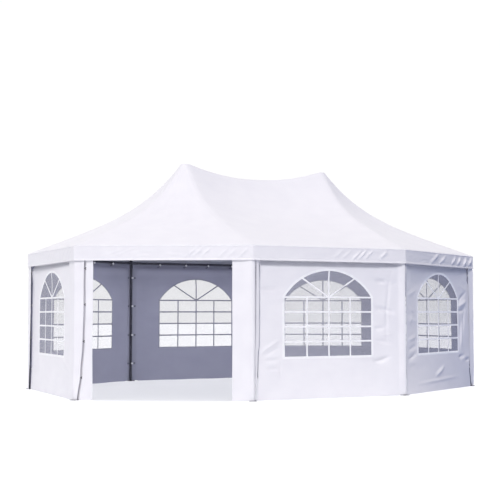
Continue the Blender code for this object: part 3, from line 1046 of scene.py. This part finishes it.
def make_window_frame(side, materials):
    """A window's welded border, which lies on the wall, and its bars, which lie on the film."""
    name = "window_frame_" + SIDES[side]
    across, up, faces = frame_lattice(name)
    outside = 1 - clamped(1 - window_gap(across, up) / 0.001)
    heights = wall_lean(side, across, up) + STRIP * outside
    points = wall_points(side, across, up, heights, WALL_INSET)
    cloth = [materials["strip"], materials["strip_inside_painted_shade"]]
    return sheet_mesh(name, points, cloth_uvs(side, across, up), faces, cloth, STRIP - 0.0001)


# Strips and flaps beside the posts

DOOR_LEFT = 0.273
DOOR_RIGHT = SIDE - 0.287
STRIP_HEIGHTS = np.linspace(0.003, WALL_TOP - 0.005, 110)
STRIP_SHARES = np.linspace(0, 1, 24)


def cloth_strip(name, side, points, materials):
    """A narrow upright strip of cloth from rows of world points, with its side and mean width."""
    steps = np.linalg.norm(np.diff(points, axis=1), axis=-1)
    places = np.concatenate([np.zeros((len(points), 1)), np.cumsum(steps, axis=1)], axis=1)
    uvs = cloth_uvs(side, places, points[..., 2])
    cloth = [materials["wall"], materials["wall_inside_painted_shade"]]
    strip = sheet_mesh(name, points, uvs, grid_faces(*places.shape), cloth, WALL_CLOTH)
    return strip, SIDES[side], float(places[:, -1].mean())


def make_upright(name, side, left, right, lift, materials):
    """A strip between two edge curves, given as places on a side that differ with height."""
    share, up = np.meshgrid(STRIP_SHARES, STRIP_HEIGHTS)
    low, high = left(up), right(up)
    across = low + (high - low) * share
    heights = lift(across, up, share) * eased(up, ((0.0, 1.0), (1.86, 1.0), (2.02, 0.0), (2.1, 0.0)))
    return cloth_strip(name, side, cloth_on_side(side, across, up, heights, WALL_INSET), materials)


# The flap that lies on the bay from its left post, and on the front wall beside its post
FLAP_ON_BAY = ((0.0, 0.063), (0.38, 0.107), (0.78, 0.134), (1.25, 0.145), (1.6, 0.143), (2.1, 0.148))
FLAP_ON_FRONT = (
    ((0.0, 0.048), (0.35, 0.04), (0.6, 0.038), (1.0, 0.05), (2.1, 0.054)),
    ((0.0, 0.058), (0.1, 0.066), (0.35, 0.087), (0.6, 0.095), (0.78, 0.116), (1.2, 0.12), (2.1, 0.121)),
)


def make_left_strip(materials):
    """The bay's left strip, whose outer edge is tucked under the flap from the post."""
    def left(up):
        return eased(up, FLAP_ON_BAY) - 0.02

    def right(up):
        return DOOR_LEFT + eased(up, ((0.0, 0.004), (0.7, -0.002), (1.4, 0.002), (2.1, 0.0)))

    def lift(across, up, share):
        beside = across - eased(up, FLAP_ON_BAY)
        tuck = bent(beside, ((0.004, -0.034), (0.03, -0.004), (0.08, 0.0)), 0.003)
        return tuck + 0.0012 * ripples(across * 2.5, up, LEFT_STRIP_SEED, 0.5)

    return make_upright("entrance_cloth_left", ENTRANCE, left, right, lift, materials)


def make_right_strip(materials):
    """The bay's right strip, which rolls loosely round its post and in behind the wall."""
    up = STRIP_HEIGHTS[:, None]
    slack = eased(up, ((0.0, 0.1), (0.35, 0.0), (1.0, 1.0), (2.1, 1.0)))
    radius = 0.045 + 0.022 * slack + 0.0012 * ripples(up * 0, up, ROLL_SEED, 0.5)
    middle = -0.02 - 0.012 * slack
    depth = 0.012 - radius
    end = np.radians(eased(up, ((0.0, 95.0), (1.95, 95.0), (2.03, 20.0), (2.1, 20.0))))
    door = DOOR_RIGHT - SIDE + eased(up, ((0.0, -0.003), (0.8, 0.002), (1.5, -0.001), (2.1, 0.0)))
    flat = door + (middle - door) * np.linspace(0, 1, 18)
    out = 0.012 * eased(flat, ((-0.17, 0.0), (-0.03, 1.0), (0.0, 1.0)))
    waves = ripples(flat * 2.5, up + 0 * flat, RIGHT_STRIP_SEED, 0.5)
    out += 0.0012 * waves * clamped(-flat / 0.1 - 0.3)
    angle = end * np.linspace(0, 1, 15)[1:]
    across = np.concatenate([flat, middle + radius * np.sin(angle)], axis=1)
    out = np.concatenate([out, depth + radius * np.cos(angle)], axis=1) - WALL_INSET
    plan = eave_corner(ENTRANCE + 1) + across[..., None] * side_direction(ENTRANCE)
    plan = plan + out[..., None] * side_normal(ENTRANCE)
    points = np.concatenate([plan, np.broadcast_to(up, across.shape)[..., None]], axis=-1)
    return cloth_strip("entrance_cloth_right", ENTRANCE, points, materials)


# Flaps that close the corners: on the side that ends there, and on the next one
EVEN_EDGE = ((0.0, 0.1), (2.1, 0.1))
FLAPS = {
    "left_back": (EVEN_EDGE, ((0.0, 0.11), (0.5, 0.145), (1.2, 0.165), (2.1, 0.185))),
    "left_front": (((0.0, 0.23), (0.5, 0.16), (1.2, 0.2), (2.1, 0.24)), FLAP_ON_BAY),
    "right_front": (
        (
            (0.0, 0.05), (0.1, 0.08), (0.3, 0.115), (0.6, 0.13), (0.85, 0.12), (1.1, 0.134), (1.35, 0.128),
            (1.6, 0.152), (1.75, 0.158), (2.1, 0.16),
        ),
        ((0.0, 0.12), (1.0, 0.11), (2.1, 0.115)),
    ),
    "right_back": (EVEN_EDGE, ((0.0, 0.11), (0.8, 0.12), (2.1, 0.11))),
    "back_right": (EVEN_EDGE, ((0.0, 0.12), (0.8, 0.11), (2.1, 0.115))),
    "back_left": (EVEN_EDGE, ((0.0, 0.11), (0.8, 0.12), (2.1, 0.11))),
}


def make_corner_flap(corner, materials):
    """A flap that comes round a corner's post and lies on the sides beside it."""
    name = CORNERS[corner][0]
    before, after = FLAPS[name]
    arc = turn_at(corner) * (FRAME_INSET - WALL_INSET)
    slack = math.tan(turn_at(corner) / 2) * FRAME_INSET * 2

    def left(up):
        return SIDE - eased(up, before)

    def right(up):
        return SIDE + arc - slack + eased(up, after)

    def lift(across, up, share):
        waves = 0.0011 * ripples(across * 2.0, up, FLAP_SEED + corner, 0.45)
        curl = 0.003 * eased(share, ((0.0, 0.0), (0.9, 0.0), (1.0, 1.0)))
        swell = 0.0
        if name == "right_front":
            swell = -0.014 + 0.029 * eased(share, ((0.0, 0.0), (0.55, 1.0), (1.0, 0.7)))
        return 0.003 + waves + curl + swell

    return make_upright("corner_flap_" + name, (corner - 1) % 8, left, right, lift, materials)


def make_front_flap(materials):
    """The narrow flap on the front wall beside the bay's right post, which sinks inwards."""
    def left(up):
        return eased(up, FLAP_ON_FRONT[0])

    def right(up):
        return eased(up, FLAP_ON_FRONT[1])

    def lift(across, up, share):
        edge = 0.014 * clamped((share - 0.7) / 0.3) ** 2
        sunk = (0.026 * share + edge) * (1 - 0.35 * clamped(1 - up) ** 2)
        return 0.004 - sunk + 0.001 * ripples(across, up, FRONT_FLAP_SEED, 0.4)

    return make_upright("corner_flap_front_left", SIDES.index("front"), left, right, lift, materials)


def make_flaps(materials):
    corners = [corner for corner in range(8) if CORNERS[corner][0] in FLAPS]
    return [*(make_corner_flap(corner, materials) for corner in corners), make_front_flap(materials)]


# Ties, eyelets and bolts

BALL_R = 0.018
ELASTIC_R = 0.003
# An eyelet's radius, half its ring's width and thickness, and how far a cord's end stands off it
EYELET_R = 0.012
EYELET_WIDE = 0.004
EYELET_THICK = 0.0022
CORD_PROUD = 0.004
POST_TIE_HEIGHTS = (0.31, 0.81, 1.32, 1.82)
RAIL_TIE_PLACES = (0.53, 1.01, 1.45, 1.955)
# How far a rail tie's ball, eyelet and knot hang under the rail's middle, and its loop's sag
BALL_DROP = 0.024
EYELET_DROP = 0.064
KNOT_DROP = TUBE_R + 0.032
LOOP_SAG = 0.03
# Radius, bottom, top and sides of a bolt's washer and of its head
BOLT_PARTS = ((0.0085, -0.001, 0.0013, 24), (0.0062, 0.001, 0.0055, 6))
# How far along its rail a bolt is from the post's middle, and the socket's outer radius
BOLT_PLACE = 0.085
SOCKET_R = 0.0215
UP = Vector((0.0, 0.0, 1.0))


def at_height(plan, height=0.0):
    """A plan point or direction in space."""
    return Vector((*plan, height))


def facing(centre, direction):
    """A matrix that puts a form at a centre, with its Z axis along a direction."""
    return Matrix.Translation(centre) @ direction.to_track_quat("Z", "Y").to_matrix().to_4x4()


def add_ball(mesh, centre):
    matrix = Matrix.Translation(centre)
    bmesh.ops.create_uvsphere(mesh, u_segments=16, v_segments=10, radius=BALL_R, matrix=matrix)


def add_eyelet(mesh, centre, outward):
    """A small turned ring in the cloth, facing along a direction."""
    matrix = facing(centre, outward)
    rings, around = 6, 16
    grid = []
    for step in range(around):
        angle = 2 * math.pi * step / around
        loop = []
        for part in range(rings):
            swing = 2 * math.pi * part / rings
            plan = unit(math.degrees(angle)) * (EYELET_R + EYELET_WIDE * math.cos(swing))
            loop.append(mesh.verts.new(matrix @ at_height(plan, EYELET_THICK * math.sin(swing))))
        grid.append(loop)
    for step in range(around):
        for part in range(rings):
            ahead, beside = (step + 1) % around, (part + 1) % rings
            mesh.faces.new((grid[step][part], grid[ahead][part], grid[ahead][beside], grid[step][beside]))


def new_cords(name, material):
    curve = bpy.data.curves.new(name, "CURVE")
    curve.dimensions = "3D"
    curve.bevel_depth = ELASTIC_R
    curve.bevel_resolution = 1
    curve.use_fill_caps = True
    curve.materials.append(material)
    return link(name, curve)


def finish_small(mesh, name, material):
    data = bpy.data.meshes.new(name)
    bmesh.ops.recalc_face_normals(mesh, faces=mesh.faces)
    mesh.to_mesh(data)
    mesh.free()
    data.materials.append(material)
    smooth(data)
    return link(name, data)


def inside_of_wall(side, place, height):
    """A point on the inner side of a wall, and the direction towards the inside."""
    at = np.array([place]), np.array([height])
    plan, outward = round_posts(side, at[0], WALL_INSET + WALL_CLOTH)
    side %= 8
    lean = 0.0
    if side != ENTRANCE:
        lean = float(wall_lean(side, *at)[0] + min(wall_folds(side, *at)[0], 0.0))
    return at_height(plan[0] + outward[0] * (lean - 0.006), height), at_height(-outward[0])


def rail_loop(centre, outward):
    """An elastic round a rail's tube, which sags under it."""
    reach = TUBE_R + ELASTIC_R
    points = []
    for part in range(18):
        angle = 2 * math.pi * part / 18
        height = reach * math.sin(angle) - LOOP_SAG * max(0.0, -math.sin(angle)) ** 2
        points.append(centre + outward * reach * math.cos(angle) + UP * height)
    return points


def make_rail_ties(side, materials):
    """Ball ties along a rail: a loop round the tube, a ball on it, and an eyelet in the cloth."""
    name = SIDES[side]
    balls, rings = bmesh.new(), bmesh.new()
    cords = new_cords("rail_tie_cords_" + name, materials["elastic"])
    outward = at_height(side_normal(side))
    for place in RAIL_TIE_PLACES:
        plan, _ = round_posts(side, [place], FRAME_INSET)
        centre = at_height(plan[0], RAIL_Z)
        add_line(cords.data, rail_loop(centre, outward), closed=True)
        add_ball(balls, centre - outward * (TUBE_R + BALL_R * 0.6) - UP * BALL_DROP)
        if side != ENTRANCE:
            spot, inward = inside_of_wall(side, place + 0.03, RAIL_Z - EYELET_DROP)
            add_eyelet(rings, spot, inward)
            add_line(cords.data, [centre - UP * KNOT_DROP, spot + inward * CORD_PROUD])
    parts = [finish_small(balls, "rail_tie_balls_" + name, materials["ball"]), cords]
    if side != ENTRANCE:
        parts.append(finish_small(rings, "rail_tie_eyelets_" + name, materials["elastic"]))
    return parts


def tie_place(side, height, end):
    """How far from its corner the cloth of a side has the eyelet of a post tie."""
    if side % 8 == ENTRANCE:
        edge = 0.055 if end else eased(height, FLAP_ON_BAY)
    else:
        edge = eased(height, WALL_EDGES.get(SIDES[side % 8], (CLOSED_EDGE, CLOSED_EDGE))[end])
    return max(0.08, float(edge) + 0.024)


def make_post_ties(corner, materials):
    """Ball ties up a post: an elastic between the walls' eyelets, with a ball before the post."""
    name = CORNERS[corner][0]
    balls, rings = bmesh.new(), bmesh.new()
    cords = new_cords("post_tie_cords_" + name, materials["elastic"])
    centre = post_centre(corner)
    middle = side_normal(corner - 1) + side_normal(corner)
    inward = -middle / np.linalg.norm(middle)
    reach = TUBE_R + ELASTIC_R
    round_post = centre + reach * rotated(inward, np.radians(np.linspace(-70, 70, 11)))
    for height in POST_TIE_HEIGHTS:
        first, facing_first = inside_of_wall(corner - 1, SIDE - tie_place(corner - 1, height, 1), height)
        last, facing_last = inside_of_wall(corner, tie_place(corner, height, 0), height)
        arc = [at_height(plan, height) for plan in round_post]
        if (arc[0] - first).length > (arc[-1] - first).length:
            arc.reverse()
        add_line(cords.data, [first + facing_first * CORD_PROUD, *arc, last + facing_last * CORD_PROUD])
        add_eyelet(rings, first, facing_first)
        add_eyelet(rings, last, facing_last)
        add_ball(balls, at_height(centre + inward * (reach + ELASTIC_R + BALL_R * 0.8), height))
    small_balls = finish_small(balls, "post_tie_balls_" + name, materials["ball"])
    return [small_balls, cords, finish_small(rings, "post_tie_eyelets_" + name, materials["elastic"])]


def add_bolt(mesh, centre, direction):
    """A hexagonal bolt head on a washer, standing on a socket."""
    for radius, low, high, sides in BOLT_PARTS:
        matrix = facing(centre, direction) @ Matrix.Translation(UP * (low + high) / 2)
        size = {"radius1": radius, "radius2": radius * 0.94, "depth": high - low}
        bmesh.ops.create_cone(mesh, cap_ends=True, segments=sides, matrix=matrix, **size)


def make_bolts(materials):
    """Bolts that hold the rails in the corner sockets, on their inner sides."""
    mesh = bmesh.new()
    for corner in range(8):
        for side, sign in ((corner, 1), (corner - 1, -1)):
            outward = side_normal(side)
            plan = post_centre(corner) + sign * side_direction(side) * BOLT_PLACE - outward * SOCKET_R
            add_bolt(mesh, at_height(plan, RAIL_Z), at_height(-outward))
    return finish_small(mesh, "socket_bolts", materials["steel"])


# Surroundings

WHITE = (0.95, 0.95, 0.95, 1.0)
FULL_WHITE = (1.0, 1.0, 1.0, 1.0)
# The camera as fitted to the photo
CAMERA_PLACE = (-7.867, -16.083, 1.218)
CAMERA_YAW = 0.4505
CAMERA_PITCH = 0.0561
CAMERA_LENS = 79.33
# Strength, spread, azimuth, elevation and colour of the far lights
SUNS = {
    "key": (2.22, 15, 31, 50, (1.0, 0.975, 0.95)),
    "floor_light": (1.7, 4, 0, 89, (1.0, 1.0, 1.0)),
    "floor_top_light": (0.5, 4, 0, 89, (1.0, 1.0, 1.0)),
    "rim": (1.55, 20, -115, 10, (1.0, 0.95, 0.9)),
    "frame_light": (0.6, 20, -8, 25, (1.0, 1.0, 1.0)),
}
FILL_PLACE = (0.0, 0.2, 2.15)
FILL_SIZE = (4.4, 2.6)
FILL_POWER = 65.0
FLOOR_REACH = 90


def seen_directly(tree):
    """1 where the camera looks at the floor or backdrop, and 0 for the light that it gives."""
    return node(tree, "ShaderNodeLightPath", {})["Is Camera Ray"]


def make_floor():
    """A white floor that throws less light back on the tent's right, where the shade is."""
    floor = bmesh.new()
    bmesh.ops.create_grid(floor, x_segments=1, y_segments=1, size=FLOOR_REACH)
    data = bpy.data.meshes.new("floor")
    floor.to_mesh(data)
    floor.free()
    material, tree = new_material("floor")
    split = node(tree, "ShaderNodeSeparateXYZ", {"Vector": object_places(tree)})
    span = {"Value": split["X"], "From Min": -5.0, "From Max": 5.0}
    place = node(tree, "ShaderNodeMapRange", span)["Result"]
    bounce = ramp(tree, place, (0.58, WHITE[:3]), (0.82, (0.28, 0.32, 0.46)))
    tone = blend(tree, seen_directly(tree), bounce, WHITE)
    finish_material(material, {"Base Color": tone, "Roughness": 0.9, "Specular IOR Level": 0.1})
    data.materials.append(material)
    obj = link("floor", data)
    obj.location.z = -0.001
    return obj


def soft_step(tree, value, low, high):
    """A factor that eases from 0 to 1 between two values."""
    inputs = {"Value": value, "From Min": low, "From Max": high}
    return node(tree, "ShaderNodeMapRange", inputs, interpolation_type="SMOOTHSTEP")["Result"]


def make_world():
    """A white backdrop, with a bright side behind the tent and a dim cool side before it."""
    world = bpy.data.worlds.new("studio")
    bpy.context.scene.world = world
    world.use_nodes = True
    tree = world.node_tree
    lit = tree.nodes["Background"]
    direction = node(tree, "ShaderNodeTexCoord", {})["Generated"]
    towards = {0: direction, 1: (0.2, 0.98, 0.0)}
    behind = node(tree, "ShaderNodeVectorMath", towards, operation="DOT_PRODUCT")["Value"]
    above = node(tree, "ShaderNodeSeparateXYZ", {"Vector": direction})["Z"]
    low = blend(tree, soft_step(tree, behind, 0.35, 0.75), (0.03, 0.045, 0.12, 1.0), FULL_WHITE)
    whole = blend(tree, soft_step(tree, above, 0.5, 0.85), low, (0.85, 0.84, 0.86, 1.0))
    connect(tree, lit, {"Color": whole})
    backdrop = node(tree, "ShaderNodeBackground", {"Color": FULL_WHITE, "Strength": 1.02})["Background"]
    shaders = {"Fac": seen_directly(tree), 1: lit.outputs["Background"], 2: backdrop}
    shown = node(tree, "ShaderNodeMixShader", shaders)["Shader"]
    connect(tree, tree.nodes["World Output"], {"Surface": shown})


def make_sun(name):
    """A far light; its azimuth turns from straight before the tent towards the left."""
    strength, spread, azimuth, elevation, color = SUNS[name]
    data = bpy.data.lights.new(name, "SUN")
    data.energy = strength
    data.angle = math.radians(spread)
    data.color = color
    sun = link(name, data)
    azimuth, elevation = math.radians(azimuth), math.radians(elevation)
    source = Vector((
        -math.sin(azimuth) * math.cos(elevation),
        -math.cos(azimuth) * math.cos(elevation),
        math.sin(elevation),
    ))
    sun.rotation_euler = source.to_track_quat("Z", "Y").to_euler()
    return sun


def light_only(light, objects, state):
    """Makes a light reach only the objects, or with EXCLUDE all but them."""
    group = bpy.data.collections.new(light.name + "_receivers")
    for obj in objects:
        group.objects.link(obj)
    for entry in group.collection_objects:
        entry.light_linking.link_state = state
    light.light_linking.receiver_collection = group


def make_lights(floor):
    """A soft key light for the tent, two lights for the floor, and a fill indoors.

    The tent casts its shadow on the floor in the weaker one of the floor's lights only.
    """
    light_only(make_sun("key"), [floor], "EXCLUDE")
    even = make_sun("floor_light")
    even.data.use_shadow = False
    light_only(even, [floor], "INCLUDE")
    light_only(make_sun("floor_top_light"), [floor], "INCLUDE")
    data = bpy.data.lights.new("indoor_fill", "AREA")
    data.shape = "RECTANGLE"
    data.size, data.size_y = FILL_SIZE
    data.energy = FILL_POWER
    fill = link("indoor_fill", data)
    fill.location = FILL_PLACE
    fill.visible_camera = False
    fill.visible_glossy = False
    light_only(fill, [floor], "EXCLUDE")


def make_edge_lights(skins, shaded_frame):
    """A low light from the right for the corner's far side, and one for a window frame in shade."""
    light_only(make_sun("rim"), skins, "INCLUDE")
    light_only(make_sun("frame_light"), [shaded_frame], "INCLUDE")


def make_camera():
    """The photo's camera: a long lens, low before the tent and to its left."""
    data = bpy.data.cameras.new("camera")
    data.lens = CAMERA_LENS
    data.sensor_width = 36.0
    data.clip_end = 400.0
    camera = link("camera", data)
    camera.location = CAMERA_PLACE
    camera.rotation_euler = (math.pi / 2 + CAMERA_PITCH, 0.0, -CAMERA_YAW)
    bpy.context.scene.camera = camera


def main():
    materials = make_materials()
    make_camera()
    make_world()
    make_lights(make_floor())
    bpy.context.scene.view_settings.view_transform = "Standard"

    for name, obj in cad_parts.items():
        if obj.material_slots and name.startswith(("post", "eave", "rafter", "crown", "ridge")):
            obj.material_slots[0].material = materials["steel"]

    roof = make_roof(materials)
    bands = make_hip_bands(materials)
    walls, films, frames = {}, {}, {}
    for side in range(8):
        if side == ENTRANCE:
            continue
        walls[side] = make_wall(side, materials)
        films[side] = make_film(side, materials)
        frames[side] = make_window_frame(side, materials)
    left_strip, right_strip = make_left_strip(materials), make_right_strip(materials)
    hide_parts("entrance_strip_left")
    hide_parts("entrance_strip_right")
    uprights = [left_strip, right_strip, *make_flaps(materials)]
    small = [make_bolts(materials)]
    for index in range(8):
        small += make_rail_ties(index, materials) + make_post_ties(index, materials)

    for piece in [roof, *bands]:
        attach(piece, "root")
    for piece in [*walls.values(), *frames.values(), *(upright[0] for upright in uprights)]:
        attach(piece, "root")
    for piece in films.values():
        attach(piece, "root")
    for piece in small:
        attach(piece, "root")

    make_edge_lights([piece for piece, _, _ in uprights if piece.name.endswith("right_front")], frames[0])


main()
